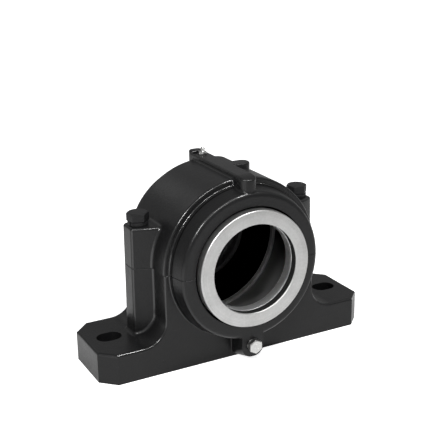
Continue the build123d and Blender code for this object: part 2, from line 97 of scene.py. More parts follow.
CENTRE_HEIGHT = joint_place("seal_spin")[2]
SHAFT_R = next(m for m in frame["record"]["mounts"] if m["name"] == "shaft_bore")["dims"]["r_mm"] * MM
SEAL_OUTER_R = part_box("labyrinth_ring")[1].x
SEAL_FACE = -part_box("labyrinth_ring")[0].y
SEAL_END = -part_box("labyrinth_ring")[1].y
SEAT_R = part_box("locating_ring_front")[1].x
EAR_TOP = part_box("spring_washer_left")[0].z
WASHER_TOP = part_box("spring_washer_left")[1].z
BOLT_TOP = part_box("cap_bolt_left")[1].z
BOLT_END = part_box("cap_bolt_left")[0].z
NOSE_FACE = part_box("drain_washer")[1].y

# labyrinth ring, locating ring and cord
SEAL_DISC_INNER = 84.6 * MM
SEAL_HUB_R = 74.6 * MM
SEAL_RIB_R = 81.4 * MM
SEAL_RIB = (76.0 * MM, 80.0 * MM)
TURNED_CHAMFER = 1.0 * MM
SEAL_EDGE = 0.3 * MM
CORD_GROOVE = (86.8 * MM, 97.8 * MM)
CORD_GROOVE_R = 69.5 * MM
CORD_INNER_R = SHAFT_R + 0.2 * MM
CORD_SIDE_GAP = 0.3 * MM
CORD_ROUND = 1.5 * MM
LOCATING_INNER_R = 101.0 * MM
LOCATING_EDGE = 0.6 * MM
BEARING_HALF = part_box("locating_ring_rear")[0].y
SEAT_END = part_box("locating_ring_rear")[1].y

# end cover
COVER_OUTER_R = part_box("end_cover")[1].x
COVER_START, COVER_FACE = (corner.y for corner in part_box("end_cover"))
COVER_RIM_R = 75.4 * MM
COVER_RIM_INNER_R = 68.6 * MM
COVER_RIB_R = 82.2 * MM
COVER_RIB = (75.2 * MM, 80.8 * MM)
COVER_WEB = 84.0 * MM
COVER_SEAT = 83.6 * MM
COVER_DISH_R = 60.0 * MM
COVER_DISH_DEPTH = 1.5 * MM
COVER_EDGE = 0.35 * MM

# radius at which an outline meets its axis, and slope of the cone on a hexagon
POLE_R = 0.2 * MM
HEXAGON_SLOPE = math.tan(math.radians(30))

# cap bolts and spring washers
BOLT_R = 9.0 * MM
BOLT_FLATS = 27.0 * MM
BOLT_FACE_R = 0.47 * BOLT_FLATS
BOLT_COLLAR = 0.6 * MM
BOLT_THREAD = 48.0 * MM
BOLT_THREAD_LEAD = 0.5 * MM
BOLT_POINT = 1.5 * MM
BOLT_TIP_R = BOLT_R - 1.6 * MM
BOLT_TURN = {"left": 41.0, "right": 46.0}
WASHER_R = 14.0 * MM
WASHER_BORE_R = 9.3 * MM
WASHER_GAP = 2.2 * MM
WASHER_TURN = 200.0
WASHER_SPRING = 0.35 * MM
WASHER_EDGE = 0.5 * MM

# dowel pins
PIN_CHAMFER = 0.5 * MM
PIN_EDGE = 0.15 * MM
PIN_POLE_R = 0.1 * MM

# drain plug and grease nipple
PLUG_R = 6.5 * MM
PLUG_FLATS = 18.0 * MM
PLUG_FACE_R = 0.46 * PLUG_FLATS
PLUG_TURN = 30.0
PLUG_COLLAR = 0.5 * MM
PLUG_NECK_R = PLUG_R - 0.5 * MM
PLUG_NECK = 1.6 * MM
PLUG_THREAD_START = 2.4 * MM
PLUG_POINT = 1.0 * MM
PLUG_TIP_R = PLUG_R - 1.2 * MM
PLUG_BORE_GAP = 0.2 * MM
PLUG_WASHER_EDGE = 0.35 * MM
NIPPLE_R = 5.0 * MM
NIPPLE_FLATS = 11.0 * MM
NIPPLE_FACE_R = 0.46 * NIPPLE_FLATS
NIPPLE_TURN = 10.0
NIPPLE_HEX = 4.0 * MM
NIPPLE_FOOT = 6.5 * MM
NIPPLE_BORE_R = 1.7 * MM
NIPPLE_MOUTH_R = 1.0 * MM
NIPPLE_STEP = -2.0 * MM
NIPPLE_SEAT = 8.6 * MM
NIPPLE_SEAT_CONE = 1.0 * MM
NIPPLE_TOP_R = 1.7 * MM
NIPPLE_HEAD_R = 3.25 * MM
NIPPLE_HEAD = (3.6 * MM, 4.4 * MM)
NIPPLE_NECK_R = 2.6 * MM
NIPPLE_NECK = (1.4 * MM, 2.4 * MM)
NIPPLE_ROOT_R = 3.6 * MM
NIPPLE_EDGE = 0.12 * MM
NIPPLE_SHANK_R = NIPPLE_R - 0.1 * MM
NIPPLE_THREAD_R = NIPPLE_R - 0.02 * MM
NIPPLE_SHANK = 0.5 * MM
NIPPLE_THREAD_START = 0.6 * MM
NIPPLE_POINT = 0.7 * MM
BALL_POLE = 0.04
SPRING_WIRE_R = 0.22 * MM
SPRING_TURNS = 5.0

# points round each turned piece
RING_POINTS = 240
CORD_POINTS = 180
BOLT_POINTS = 180
WASHER_POINTS = 150
PIN_POINTS = 64
NIPPLE_POINTS = 144
WIRE_POINTS = 16

# bands over which a finish or the painted shade of the castings fades, in metres
SEAT_BAND = (3.3 * MM, 3.5 * MM)
SEAT_FADE = 0.3 * MM
SHOULDER_FADE = 1.0 * MM
# the recess and chamber bands mark where the castings are painted nearly black as painted shade
RECESS_R = (85.0 * MM, 85.2 * MM)
RECESS_DEPTH = (89.0 * MM, 89.3 * MM)
CHAMBER_R = (108.0 * MM, 108.4 * MM)
CHAMBER_DEPTH = (66.3 * MM, 66.6 * MM)
FOOT_CORNER = (185.0 * MM, 186.0 * MM)
FOOT_TOP = (39.5 * MM, 40.5 * MM)
NOSE_DEPTH = (78.0 * MM, 80.0 * MM)
# heights and lengths over which painted shade darkens the seat and the locating rings
SHADE_HEIGHT = (60.0 * MM, 135.0 * MM)
SHADE_LENGTH = (-30.0 * MM, 35.0 * MM)
RING_SHADE_HEIGHT = (75.0 * MM, 140.0 * MM)
BORE_FADE = (0.6 * MM, 0.9 * MM)
GROOVE_FADE = 0.2 * MM

# colours of the painted shade on the seat and the locating rings, and shares of the finishes, the painted shade
# and the painted light
SEAT_SHADE = (0.01, 0.01, 0.01, 1.0)
RING_SHADE = (0.02, 0.02, 0.02, 1.0)
RING_SHADE_SHARE = 0.75
FRONT_UNSHADED = 0.15
INSIDE_SHADE_SHARE = 0.85
NOSE_DULLING = 0.75
PATCH_GLOSS = 0.16
GRAIN_GLOSS = 0.10
BORE_LIGHT_SHARE = 0.9

# lean of a face's normal towards the shaft, from 0 to 1, at which an edge starts and ends
EDGE_START = (0.4, 0.55)
EDGE_END = (0.8, 0.86)

# stage, in metres and degrees, and the lens in millimetres
FLOOR_HALF = 12.0
FLOOR_DROP = 0.0003
LAMPS = {
    "left_lamp": ("key", (-0.92, -0.78, 1.0), (0.1, 0.36)),
    "shoulder_lamp": ("shoulder", (-0.25, -0.9, 1.4), (0.5, 0.12)),
    "top_lamp": ("top", (0.38, -0.5, 1.46), (0.34, 0.12)),
    "rear_lamp": ("rim", (-0.36, 1.2, 0.95), (0.5, 0.4)),
}
SENSOR_MM = 36.0
LENS_MM = 78.5
LENS_SHIFT = (-0.0626, 0.0102)
EYE_PLACE = (-0.57985, -1.10262, 0.60296)
EYE_TURN = (71.296, 0.455, -29.257)


# --- surfaces ------------------------------------------------------------------------
def unit(vectors):
    """Vectors divided by their own length."""
    return vectors / np.linalg.norm(vectors, axis=-1, keepdims=True)


def eased(corners, radius, closed=False, steps=4):
    """Outline with each corner turned into an arc. Corners are (count, columns, 2) points.

    The arc's centre lies on the corner's bisector, radius / sin(half the corner's angle) away. A point at
    share s of the arc is the mean of the two touching directions p and q, weighted as
    sin((1 - s) a) / sin a and sin(s a) / sin a, where a is the angle between them.
    """
    if closed:
        before, corner, after = np.roll(corners, 1, 0), corners, np.roll(corners, -1, 0)
    else:
        before, corner, after = corners[:-2], corners[1:-1], corners[2:]
    back, ahead = unit(before - corner), unit(after - corner)
    half = np.arccos(np.clip((back * ahead).sum(-1, keepdims=True), -1, 1)) / 2
    centre = corner + unit(back + ahead) * radius / np.sin(half)
    start = unit(corner + back * radius / np.tan(half) - centre)
    end = unit(corner + ahead * radius / np.tan(half) - centre)
    sweep = math.pi - 2 * half
    share = np.linspace(0, 1, steps)[None, :, None, None]
    start, end, sweep = start[:, None], end[:, None], sweep[:, None]
    arc = (np.sin((1 - share) * sweep) * start + np.sin(share * sweep) * end) / np.sin(sweep)
    arc = (centre[:, None] + radius * arc).reshape(-1, *corners.shape[1:])
    return arc if closed else np.concatenate([corners[:1], arc, corners[-1:]])


def outline(angles, *corners):
    """Corner points (radius, height), each a number or one value for every angle, as one array."""
    rows = [[np.broadcast_to(value, angles.shape) for value in corner] for corner in corners]
    return np.moveaxis(np.array(rows, float), 1, -1)


def around(count, turn=0.0):
    """Evenly spaced angles round a full turn, from a first angle in degrees."""
    return math.radians(turn) + np.arange(count) * FULL_TURN / count


def hexagon(angles, flats, turn):
    """Distance from the middle to the side of a hexagon with eased corners, at each angle.

    It is half the flats over the n-th root of the sum of cos(angle to each side)^n. A corner points along
    the turn.
    """
    sides = math.radians(turn) + (np.arange(6) + 0.5) * FULL_TURN / 6
    facing = np.maximum(np.cos(angles[:, None] - sides), 0)
    sharpness = 60
    return flats / 2 / (facing ** sharpness).sum(1) ** (1 / sharpness)


def threaded(angles, radius, pitch, top, bottom):
    """Rows of a screw thread from its top to its bottom.

    The radius falls by 0.6 pitch between two crests, which lie where height / pitch - angle / turn is whole.
    The flanks are a triangle wave cut flat at crest and root, and the depth fades in over the first turn.
    """
    height = np.linspace(top, bottom, int(8 * (top - bottom) / pitch))[:, None]
    phase = (height / pitch - angles[None] / FULL_TURN) % 1
    flank = np.clip(1.6 * np.abs(2 * phase - 1) - 0.3, 0, 1)
    fade = np.clip((top - height) / pitch, 0, 1)
    reach = radius - 0.6 * pitch * (1 - flank) * fade
    return np.stack([reach, np.broadcast_to(height, reach.shape)], -1)


def turned(angles, rows, origin, axis):
    """Points of (radius, height) rows turned about an axis through the origin.

    A point is (r cos a, r sin a, h) on the axis's own frame of three directions.
    """
    frames = {
        "up": ((1, 0, 0), (0, 1, 0), (0, 0, 1)),
        "rear": ((-1, 0, 0), (0, 0, 1), (0, 1, 0)),
        "front": ((1, 0, 0), (0, 0, 1), (0, -1, 0)),
    }
    radius, height = rows[..., 0], rows[..., 1]
    local = np.stack([radius * np.cos(angles), radius * np.sin(angles), height], -1)
    return local @ np.array(frames[axis], float) + np.array(origin)


def skin(name, grid, closed=False, sharp=35.0):
    """Closed mesh object through a grid of points (rows, columns, 3), joined round its columns.

    Its rows are joined end to end, or each end is closed by a fan about its middle. The faces are turned
    outwards where the volume, the sum of a . (b x c) / 6 over the triangles, comes out negative.
    """
    count = grid.shape[0] * grid.shape[1]
    index = np.arange(count).reshape(grid.shape[:2])
    points = grid.reshape(-1, 3)
    low, high = (index, np.roll(index, -1, 0)) if closed else (index[:-1], index[1:])
    quads = np.stack([low, np.roll(low, -1, 1), np.roll(high, -1, 1), high], -1).reshape(-1, 4)
    fans = np.empty((0, 3), int)
    if not closed:
        points = np.vstack([points, grid[0].mean(0), grid[-1].mean(0)])
        first, last = index[0], index[-1]
        fans = np.vstack([
            np.stack([np.full_like(first, count), np.roll(first, -1), first], -1),
            np.stack([np.full_like(last, count + 1), last, np.roll(last, -1)], -1),
        ])
    halves = np.vstack([quads[:, :3], quads[:, [0, 2, 3]], fans])
    a, b, c = points[halves[:, 0]], points[halves[:, 1]], points[halves[:, 2]]
    if (a * np.cross(b, c)).sum() < 0:
        quads, fans = quads[:, ::-1], fans[:, ::-1]
    mesh = bpy.data.meshes.new(name)
    mesh.from_pydata(points.tolist(), [], quads.tolist() + fans.tolist())
    mesh.shade_smooth()
    mesh.set_sharp_from_angle(angle=math.radians(sharp))
    piece = bpy.data.objects.new(name, mesh)
    bpy.context.scene.collection.objects.link(piece)
    return piece


def carried(centres, across, up, section):
    """A section of (u, v) points carried along a path: centre + u across + v up at each of its steps."""
    u, v = section[None, :, :1], section[None, :, 1:]
    return centres[:, None] + u * across[:, None] + v * up[:, None]


def fit(piece, node, body, material):
    """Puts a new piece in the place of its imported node, on that node's body, with its finish."""
    piece.data.materials.append(material)
    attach(piece, body)
    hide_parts(node)
    return piece


# --- shader maths --------------------------------------------------------------------
class Value:
    """A shader socket that can be used in an expression. Each operation adds its Math node."""

    def __init__(self, shader, socket):
        self.shader = shader
        self.socket = socket

    def math(self, operation, first, second=0.0):
        """Adds a Math node."""
        return self.shader.node("ShaderNodeMath", {"operation": operation}, {0: first, 1: second})

    def __add__(self, other):
        return self.math("ADD", self, other)

    def __sub__(self, other):
        return self.math("SUBTRACT", self, other)

    def __rsub__(self, other):
        return self.math("SUBTRACT", other, self)

    def __mul__(self, other):
        return self.math("MULTIPLY", self, other)

    def __pow__(self, other):
        return self.math("POWER", self, other)

    def __abs__(self):
        return self.math("ABSOLUTE", self)

    __radd__ = __add__
    __rmul__ = __mul__


class Shader:
    """Node tree of one material or of the world."""

    def __init__(self, owner):
        owner.use_nodes = True
        self.owner = owner
        self.tree = owner.node_tree
        self.tree.nodes.clear()

    def node(self, kind, settings=None, inputs=None, output=0):
        """Adds a node: its settings first, then the values or links of its sockets."""
        made = self.tree.nodes.new(kind)
        for key, value in (settings or {}).items():
            setattr(made, key, value)
        for key, value in (inputs or {}).items():
            if isinstance(value, Value):
                self.tree.links.new(value.socket, made.inputs[key])
            else:
                made.inputs[key].default_value = value
        return Value(self, made.outputs[output]) if made.outputs else made

    def place(self):
        """Object coordinates, in metres."""
        return self.node("ShaderNodeTexCoord", output="Object")

    def split(self, vector):
        """X, Y and Z of a vector."""
        made = self.node("ShaderNodeSeparateXYZ", inputs={0: vector})
        return [Value(self, socket) for socket in made.socket.node.outputs]

    def noise(self, vector, size, detail=2.0, roughness=0.5):
        """Noise from 0 to 1 whose features are about the given size, in metres."""
        inputs = {"Vector": vector, "Scale": 1 / size, "Detail": detail, "Roughness": roughness}
        return self.node("ShaderNodeTexNoise", inputs=inputs)

    def stretched(self, vector, factors):
        """A vector multiplied part by part."""
        return self.node("ShaderNodeVectorMath", {"operation": "MULTIPLY"}, {0: vector, 1: factors})

    def ramp(self, value, low, high):
        """Smooth step from 0 at low to 1 at high."""
        inputs = {"Value": value, "From Min": low, "From Max": high}
        return self.node("ShaderNodeMapRange", {"interpolation_type": "SMOOTHSTEP"}, inputs)

    def within(self, value, low, high):
        """1 below low, falling to 0 at high."""
        return 1 - self.ramp(value, low, high)

    def colour(self, factor, first, second):
        """Colour between two colours."""
        inputs = {0: factor, 6: first, 7: second}
        return self.node("ShaderNodeMix", {"data_type": "RGBA"}, inputs, output=2)

    def shades(self, factor, rgb, low, high):
        """Colour from low times to high times a plain colour."""
        dark, light = [(*(part * share for part in rgb), 1.0) for share in (low, high)]
        return self.colour(factor, dark, light)

    def bump(self, height):
        """Normal of a surface raised by a height in metres."""
        return self.node("ShaderNodeBump", inputs={"Strength": 1.0, "Distance": 1.0, "Height": height})

    def surface(self, inputs):
        """Ends the tree in a Principled surface."""
        shader = self.node("ShaderNodeBsdfPrincipled", inputs=inputs)
        self.node("ShaderNodeOutputMaterial", inputs={"Surface": shader})
        return self.owner


def new_shader(name):
    """Empty material with its node tree."""
    return Shader(bpy.data.materials.new(OWN + name))


def finish(maker, look):
    """The maker's material, made once."""
    return bpy.data.materials.get(OWN + maker.__name__) or maker(look)


def shaft_radius(shader, place):
    """Distance from the shaft's axis, and place along it."""
    x, y, z = shader.split(place)
    rise = z - CENTRE_HEIGHT
    return (x * x + rise * rise) ** 0.5, y


def lathe_lines(shader, radius, along, feed, detail=2.0, roughness=0.5):
    """Noise that runs in rings about the shaft, a feed apart."""
    reach = shader.node("ShaderNodeCombineXYZ", inputs={0: radius, 1: along})
    return shader.noise(reach, feed, detail, roughness)


# --- settings ------------------------------------------------------------------------
def colour_setting(name, description, default):
    """A colour that the user can change."""
    return bpy.props.FloatVectorProperty(
        name=name, description=description, default=default, subtype="COLOR", size=3, min=0, max=1)


def length_setting(name, description, default):
    """A length in metres."""
    return bpy.props.FloatProperty(
        name=name, description=description, default=default, unit="LENGTH", subtype="DISTANCE", precision=5)


def share_setting(name, description, default):
    """A share from 0 to 1."""
    return bpy.props.FloatProperty(
        name=name, description=description, default=default, subtype="FACTOR", min=0, max=1)


def power_setting(name, description, default):
    """A lamp's power in watts."""
    return bpy.props.FloatProperty(name=name, description=description, default=default, unit="POWER", min=0)


class CastingSettings(bpy.types.PropertyGroup):
    """Paint of the castings and bolts, and the bare metal inside."""
    paint: colour_setting("Paint", "Colour of the black paint", (0.0072, 0.0072, 0.0075))
    gloss: share_setting("Roughness", "Roughness of the paint", 0.32)
    lustre: share_setting("Edge lustre", "Weight of the shine on edges, where paint is rubbed smooth", 0.95)
    grain: length_setting("Grain size", "Size of the sand grain under the paint", 2.4 * MM)
    grain_depth: length_setting("Grain depth", "Height of the sand grain under the paint", 0.26 * MM)
    wave: length_setting("Wave size", "Size of the slow waves of the cast skin", 14 * MM)
    wave_depth: length_setting("Wave depth", "Height of the slow waves of the cast skin", 0.2 * MM)
    iron: colour_setting("Iron", "Colour of the bearing seat", (0.42, 0.42, 0.415))
    fresh_iron: colour_setting("Fresh iron", "Colour of the turned rings and shoulders", (0.9, 0.9, 0.89))


class RingSettings(bpy.types.PropertyGroup):
    """Turned rings, the rubber cord and the end cover."""
    steel: colour_setting("Turned steel", "Colour of the labyrinth ring", (0.47, 0.47, 0.465))
    rubber: colour_setting("Rubber", "Colour of the cord", (0.006, 0.006, 0.006))
    cover: colour_setting("End cover", "Colour of the end cover", (0.1, 0.1, 0.102))
    lathe: length_setting("Lathe feed", "Distance between two lathe lines", 0.9 * MM)


class FastenerSettings(bpy.types.PropertyGroup):
    """Bolts, washers, pins, plug and nipple."""
    plated: colour_setting("Plating", "Colour of the plated plug and nipple", (0.56, 0.56, 0.55))
    ground: colour_setting("Ground steel", "Colour of the pins, ball and spring", (0.5, 0.5, 0.5))
    edge: length_setting("Edge", "Rounding of the forged edges", 0.45 * MM)
    bolt_pitch: length_setting("Bolt pitch", "Thread pitch of the cap bolts", 2.5 * MM)
    plug_pitch: length_setting("Plug pitch", "Thread pitch of the drain plug", 1.337 * MM)
    nipple_pitch: length_setting("Nipple pitch", "Thread pitch of the grease nipple", 1.0 * MM)


class StageSettings(bpy.types.PropertyGroup):
    """Floor, lamps and camera."""
    key: power_setting("Left lamp", "Power of the tall lamp on the left", 11.0)
    shoulder: power_setting("Shoulder lamp", "Power of the lamp above on the left", 7.0)
    top: power_setting("Top lamp", "Power of the lamp overhead", 10.0)
    rim: power_setting("Rear lamp", "Power of the lamp behind on the left", 0.4)
    sky: share_setting("Sky", "Strength of the even light from all round", 0.3)
    sky_mirror: share_setting("Sky in reflections", "White of the surround in reflections", 0.3)
    floor_mirror: share_setting("Floor in reflections", "Added white of the floor in reflections", 0.2)
    floor_glow: share_setting("Floor white", "Plain white that the floor shows under its own light", 0.85)


# --- finishes ------------------------------------------------------------------------
def opaque(rgb):
    """A colour with full alpha."""
    return (*rgb, 1.0)


def paint_skin(shader, place, look, share=1.0):
    """Height, roughness and patches of paint over a cast skin."""
    grain = shader.noise(place, look.grain, 3.0)
    wave = shader.noise(place, look.wave, 2.0)
    height = grain * (look.grain_depth * share) + wave * (look.wave_depth * share)
    patch = shader.noise(place, 3 * look.wave, 3.0)
    rough = look.gloss + (patch - 0.5) * PATCH_GLOSS + (grain - 0.5) * GRAIN_GLOSS
    return height, rough, patch


def edge_share(shader):
    """1 on rounded edges between a front or rear face and its sides, and 0 on the faces themselves."""
    lean = abs(shader.split(shader.node("ShaderNodeTexCoord", output="Normal"))[1])
    return shader.ramp(lean, *EDGE_START) * shader.within(lean, *EDGE_END)


def painted_casting(look):
    """Black paint over a sand-cast skin, with a bare machined seat inside.

    The seat is bare where the radius is near the seat's. Its shoulders keep their own colour, and the rest of it
    is darkened by painted shade that lessens towards its bottom and its rear. The chamber and the recesses in
    the walls are painted nearly black as painted shade. The paint is rubbed smooth on edges, though not on the
    cut corners of the feet, and less on the nose.
    """
    shader = new_shader("painted_casting")
    place = shader.place()
    radius, along = shaft_radius(shader, place)
    height, rough, patch = paint_skin(shader, place, look)
    depth = abs(along)
    bare = shader.within(abs(radius - SEAT_R), *SEAT_BAND) * shader.within(
        depth, SEAT_END, SEAT_END + SEAT_FADE)
    fresh = shader.ramp(depth, BEARING_HALF, BEARING_HALF + SHOULDER_FADE)
    # painted shade: the recess and the chamber inside the castings are painted nearly black
    recess = shader.within(radius, *RECESS_R) * shader.within(depth, *RECESS_DEPTH)
    chamber = shader.within(radius, *CHAMBER_R) * shader.within(depth, *CHAMBER_DEPTH) * (1 - bare)
    inside = chamber + recess * (1 - chamber)
    colour = shader.colour(inside * INSIDE_SHADE_SHARE, shader.shades(patch, look.paint, 0.75, 1.3), BLACK)
    feed = shader.noise(shader.stretched(place, (0.02, 1.0, 0.02)), 0.7 * MM)
    x, _, z = shader.split(place)
    foot_corner = shader.ramp(abs(x), *FOOT_CORNER) * shader.within(z, *FOOT_TOP)
    rubbed = (1 - foot_corner) * (1 - shader.ramp(depth, *NOSE_DEPTH) * NOSE_DULLING)
    # painted shade on the seat: darker towards its top and its front, but not on the shoulders
    rearward = shader.ramp(along, *SHADE_LENGTH) * (1 - FRONT_UNSHADED) + FRONT_UNSHADED
    unshaded = shader.within(z, *SHADE_HEIGHT) * rearward
    unshaded = unshaded * (1 - fresh) + fresh
    iron = shader.colour(fresh, opaque(look.iron), opaque(look.fresh_iron))
    iron = shader.colour(unshaded, SEAT_SHADE, iron)
    return shader.surface({
        "Base Color": shader.colour(bare, colour, iron),
        "Metallic": bare * 0.35 + inside,
        "Roughness": rough + inside * 0.4 + bare * 0.2,
        "Specular IOR Level": 0.25,
        "Coat Weight": edge_share(shader) * rubbed * (1 - inside) * (1 - bare) * look.lustre,
        "Coat Roughness": 0.12,
        "Normal": shader.bump(height * (1 - bare) + feed * (bare * (0.02 * MM))),
    })


def painted_steel(look):
    """Black paint over forged steel: smoother than the castings, with small scale marks."""
    shader = new_shader("painted_steel")
    place = shader.place()
    height, rough, patch = paint_skin(shader, place, look, 0.7)
    return shader.surface({
        "Base Color": shader.shades(patch, look.paint, 1.5, 2.4),
        "Roughness": rough + 0.15,
        "Specular IOR Level": 0.15,
        "Normal": shader.bump(height),
    })


def turned_steel(look):
    """Bright turned steel: rings of lathe feed about the shaft, a mottle, and a bore lightened towards white as
    painted light.
    """
    shader = new_shader("turned_steel")
    place = shader.place()
    radius, along = shaft_radius(shader, place)
    feed = lathe_lines(shader, radius, along, look.lathe, 3.0, 0.6)
    mottle = shader.noise(place, 3.0 * MM, 4.0, 0.7)
    broad = shader.noise(place, 22 * MM, 2.0)
    tone = feed * 0.35 + mottle * 0.4 + broad * 0.25
    # painted light: the bore of the ring is lightened towards white
    bore = shader.within(radius, SHAFT_R + BORE_FADE[0], SHAFT_R + BORE_FADE[1]) * shader.within(
        abs(along), CORD_GROOVE[1], CORD_GROOVE[1] + GROOVE_FADE)
    return shader.surface({
        "Base Color": shader.colour(bore * BORE_LIGHT_SHARE, shader.shades(tone, look.steel, 0.45, 1.5), WHITE),
        "Metallic": 1.0,
        "Roughness": 0.36 + mottle * 0.16,
        "Normal": shader.bump(feed * (0.02 * MM) + mottle * (0.008 * MM)),
    })


def machined_iron(look):
    """Machined grey iron of the locating rings: lathe lines, and painted shade that darkens their upper half."""
    shader = new_shader("machined_iron")
    place = shader.place()
    radius, along = shaft_radius(shader, place)
    feed = lathe_lines(shader, radius, along, 0.6 * MM)
    tone = shader.noise(place, 9 * MM, 4.0)
    # painted shade: the locating rings darken towards their top
    ring_shade = shader.ramp(shader.split(place)[2], *RING_SHADE_HEIGHT) * RING_SHADE_SHARE
    iron = shader.shades(tone, look.fresh_iron, 0.95, 1.15)
    return shader.surface({
        "Base Color": shader.colour(ring_shade, iron, RING_SHADE),
        "Metallic": 0.25,
        "Roughness": 0.4 + tone * 0.14,
        "Normal": shader.bump(feed * (0.015 * MM)),
    })


def ground_steel(look):
    """Ground steel of the pins, the ball and the spring."""
    shader = new_shader("ground_steel")
    place = shader.place()
    tone = shader.noise(place, 0.8 * MM, 4.0, 0.6)
    return shader.surface({
        "Base Color": shader.shades(tone, look.ground, 0.85, 1.1),
        "Metallic": 1.0,
        "Roughness": 0.18 + tone * 0.12,
        "Normal": shader.bump(tone * (0.002 * MM)),
    })


def plated_steel(look):
    """Bright zinc plating with faint clouds and fine scratches."""
    shader = new_shader("plated_steel")
    place = shader.place()
    cloud = shader.noise(place, 3 * MM, 4.0, 0.6)
    scratch = shader.noise(shader.stretched(place, (1.0, 0.12, 0.35)), 0.35 * MM, 2.0)
    return shader.surface({
        "Base Color": shader.shades(cloud, look.plated, 0.82, 1.12),
        "Metallic": 1.0,
        "Roughness": 0.2 + cloud * 0.18,
        "Normal": shader.bump(cloud * (0.01 * MM) + scratch * (0.004 * MM)),
    })


def soft_aluminium(look):
    """Dull soft aluminium of the sealing washer."""
    shader = new_shader("soft_aluminium")
    place = shader.place()
    cloud = shader.noise(place, 1.4 * MM, 4.0, 0.6)
    return shader.surface({
        "Base Color": shader.shades(cloud, look.plated, 0.7, 0.95),
        "Metallic": 1.0,
        "Roughness": 0.34 + cloud * 0.2,
        "Normal": shader.bump(cloud * (0.01 * MM)),
    })


def black_rubber(look):
    """Matt black rubber with moulding bloom."""
    shader = new_shader("black_rubber")
    place = shader.place()
    bloom = shader.noise(place, 5 * MM, 4.0, 0.6)
    fine = shader.noise(place, 0.5 * MM, 2.0)
    return shader.surface({
        "Base Color": shader.shades(bloom, look.rubber, 0.8, 2.2),
        "Roughness": 0.55 + bloom * 0.2,
        "Specular IOR Level": 0.3,
        "Normal": shader.bump(fine * (0.02 * MM)),
    })


def hard_rubber(look):
    """Smooth hard dark rubber of the end cover, with faint flow marks."""
    shader = new_shader("hard_rubber")
    place = shader.place()
    flow = shader.noise(place, 12 * MM, 3.0)
    return shader.surface({
        "Base Color": shader.shades(flow, look.cover, 0.85, 1.2),
        "Roughness": 0.24 + flow * 0.1,
        "Specular IOR Level": 0.45,
        "Normal": shader.bump(flow * (0.05 * MM)),
    })


# --- operators -----------------------------------------------------------------------
class PLUMMER_OT_castings(bpy.types.Operator):
    """Paint the housing base and the housing cap"""
    bl_idname = "plummer.castings"
    bl_label = "Castings"

    def execute(self, context):
        material = painted_casting(context.scene.plummer_casting)
        for node in ("housing_base", "housing_cap"):
            piece = frame["nodes"][node]
            piece.data.materials[0] = material
        return {"FINISHED"}


class PLUMMER_OT_labyrinth_ring(bpy.types.Operator):
    """Turn the labyrinth ring: proud disc, hub, rib and cord groove, every edge broken"""
    bl_idname = "plummer.labyrinth_ring"
    bl_label = "Labyrinth Ring"

    def execute(self, context):
        material = turned_steel(context.scene.plummer_rings)
        angles = around(RING_POINTS)
        chamfer = TURNED_CHAMFER
        corners = outline(
            angles,
            (SHAFT_R + chamfer, SEAL_END), (SEAL_HUB_R - chamfer, SEAL_END),
            (SEAL_HUB_R, SEAL_END + chamfer),
            (SEAL_HUB_R, SEAL_RIB[0]), (SEAL_RIB_R, SEAL_RIB[0]), (SEAL_RIB_R, SEAL_RIB[1]),
            (SEAL_HUB_R, SEAL_RIB[1]), (SEAL_HUB_R, SEAL_DISC_INNER), (SEAL_OUTER_R, SEAL_DISC_INNER),
            (SEAL_OUTER_R, SEAL_FACE - chamfer), (SEAL_OUTER_R - chamfer, SEAL_FACE),
            (SHAFT_R + chamfer, SEAL_FACE), (SHAFT_R, SEAL_FACE - chamfer), (SHAFT_R, CORD_GROOVE[1]),
            (CORD_GROOVE_R, CORD_GROOVE[1]), (CORD_GROOVE_R, CORD_GROOVE[0]), (SHAFT_R, CORD_GROOVE[0]),
            (SHAFT_R, SEAL_END + chamfer))
        rows = eased(corners, SEAL_EDGE, closed=True)
        grid = turned(angles, rows, (0, 0, CENTRE_HEIGHT), "front")
        piece = skin("turned_labyrinth_ring", grid, closed=True)
        fit(piece, "labyrinth_ring", "shaft_seal", material)
        return {"FINISHED"}


class PLUMMER_OT_rubber_cord(bpy.types.Operator):
    """Lay the rubber cord in the groove of the labyrinth ring"""
    bl_idname = "plummer.rubber_cord"
    bl_label = "Rubber Cord"

    def execute(self, context):
        material = black_rubber(context.scene.plummer_rings)
        angles = around(CORD_POINTS)
        low, high = CORD_GROOVE[0] + CORD_SIDE_GAP, CORD_GROOVE[1] - CORD_SIDE_GAP
        corners = outline(angles, (CORD_INNER_R, low), (CORD_GROOVE_R, low), (CORD_GROOVE_R, high),
                          (CORD_INNER_R, high))
        rows = eased(corners, CORD_ROUND, closed=True, steps=7)
        grid = turned(angles, rows, (0, 0, CENTRE_HEIGHT), "front")
        piece = skin("moulded_cord", grid, closed=True)
        fit(piece, "rubber_cord", "shaft_seal", material)
        return {"FINISHED"}


class PLUMMER_OT_end_cover(bpy.types.Operator):
    """Mould the cup-shaped end cover that closes the rear wall"""
    bl_idname = "plummer.end_cover"
    bl_label = "End Cover"

    def execute(self, context):
        material = hard_rubber(context.scene.plummer_rings)
        angles = around(RING_POINTS)
        chamfer, dish = TURNED_CHAMFER, COVER_FACE - COVER_DISH_DEPTH
        corners = outline(
            angles,
            (POLE_R, COVER_WEB), (COVER_RIM_INNER_R - 2 * chamfer, COVER_WEB),
            (COVER_RIM_INNER_R, COVER_WEB - 2 * chamfer), (COVER_RIM_INNER_R, COVER_START),
            (COVER_RIM_R - chamfer, COVER_START), (COVER_RIM_R, COVER_START + chamfer),
            (COVER_RIM_R, COVER_RIB[0]), (COVER_RIB_R, COVER_RIB[0]), (COVER_RIB_R, COVER_RIB[1]),
            (COVER_RIM_R, COVER_RIB[1]), (COVER_RIM_R, COVER_SEAT), (COVER_OUTER_R, COVER_SEAT),
            (COVER_OUTER_R, COVER_FACE - chamfer), (COVER_OUTER_R - chamfer, COVER_FACE),
            (COVER_DISH_R, COVER_FACE), (COVER_DISH_R - COVER_DISH_DEPTH, dish), (POLE_R, dish))
        grid = turned(angles, eased(corners, COVER_EDGE), (0, 0, CENTRE_HEIGHT), "rear")
        piece = skin("moulded_end_cover", grid)
        fit(piece, "end_cover", "housing", material)
        return {"FINISHED"}


